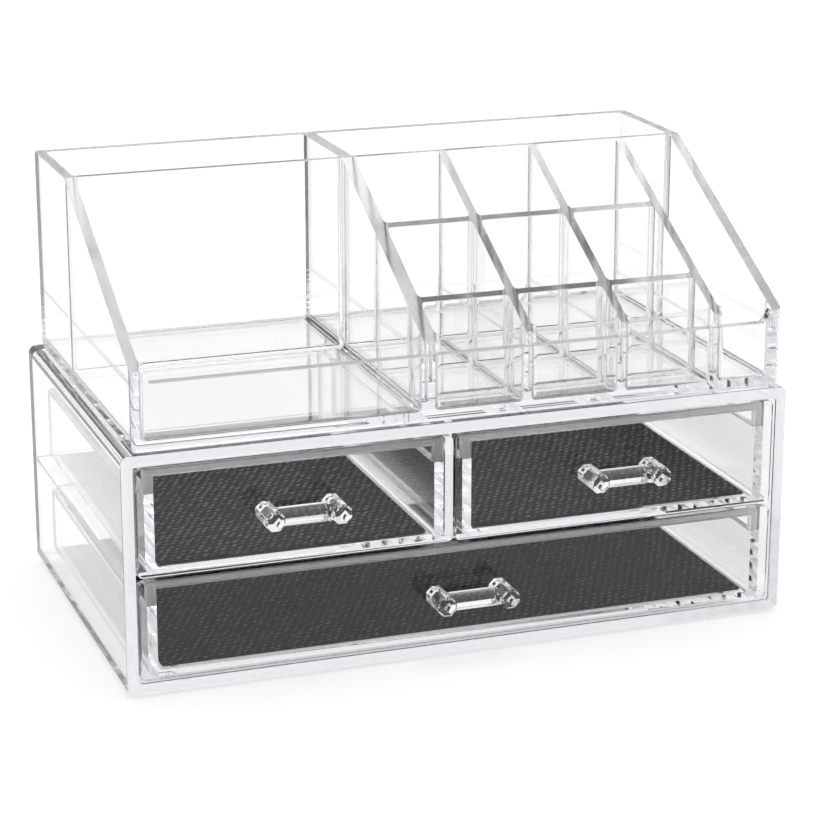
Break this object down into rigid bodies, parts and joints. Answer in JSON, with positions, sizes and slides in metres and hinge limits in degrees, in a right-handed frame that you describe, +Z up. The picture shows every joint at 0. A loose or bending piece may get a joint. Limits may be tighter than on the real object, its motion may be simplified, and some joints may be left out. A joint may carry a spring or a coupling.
{
  "type": "acrylic drawer organizer",
  "caption": "Clear moulded organizer: a low case with sliding drawers on black mats, and a loose sloping tray on top divided into a bin, tall rear slots and small cells.",
  "frame": {"origin": "under the middle of the bounding box, in the plane that the feet stand on", "axes": "+X to the right as seen from the front, +Y to the back, +Z up; the drawers open towards -Y"},
  "size_m": [0.24, 0.1546, 0.1586],
  "materials": {
    "clear_acrylic": "polished clear moulded plastic",
    "black_mat": "embossed matt mat",
    "clear_bumper": "soft clear bumper"
  },
  "bodies": {
    "case": {"case_shell": "clear_acrylic", "mid_shelf": "clear_acrylic", "bay_divider": "clear_acrylic", "foot_front_left": "clear_bumper", "foot_front_right": "clear_bumper", "foot_back_left": "clear_bumper", "foot_back_right": "clear_bumper"},
    "drawer_left": {"drawer_left": "clear_acrylic", "handle_left": "clear_acrylic", "mat_left": "black_mat"},
    "drawer_right": {"drawer_right": "clear_acrylic", "handle_right": "clear_acrylic", "mat_right": "black_mat"},
    "drawer_bottom": {"drawer_bottom": "clear_acrylic", "handle_bottom": "clear_acrylic", "mat_bottom": "black_mat"},
    "tray": {"tray": "clear_acrylic"}
  },
  "joints": [
    {"name": "drawer_left_slide", "type": "slide", "parent": "case", "child": "drawer_left", "axis": [0, -1, 0], "range_m": [0, 0.11]},
    {"name": "drawer_right_slide", "type": "slide", "parent": "case", "child": "drawer_right", "axis": [0, -1, 0], "range_m": [0, 0.11]},
    {"name": "drawer_bottom_slide", "type": "slide", "parent": "case", "child": "drawer_bottom", "axis": [0, -1, 0], "range_m": [0, 0.11]},
    {"name": "tray_lift", "type": "slide", "parent": "case", "child": "tray", "axis": [0, 0, 1], "range_m": [0, 0.06]}
  ]
}
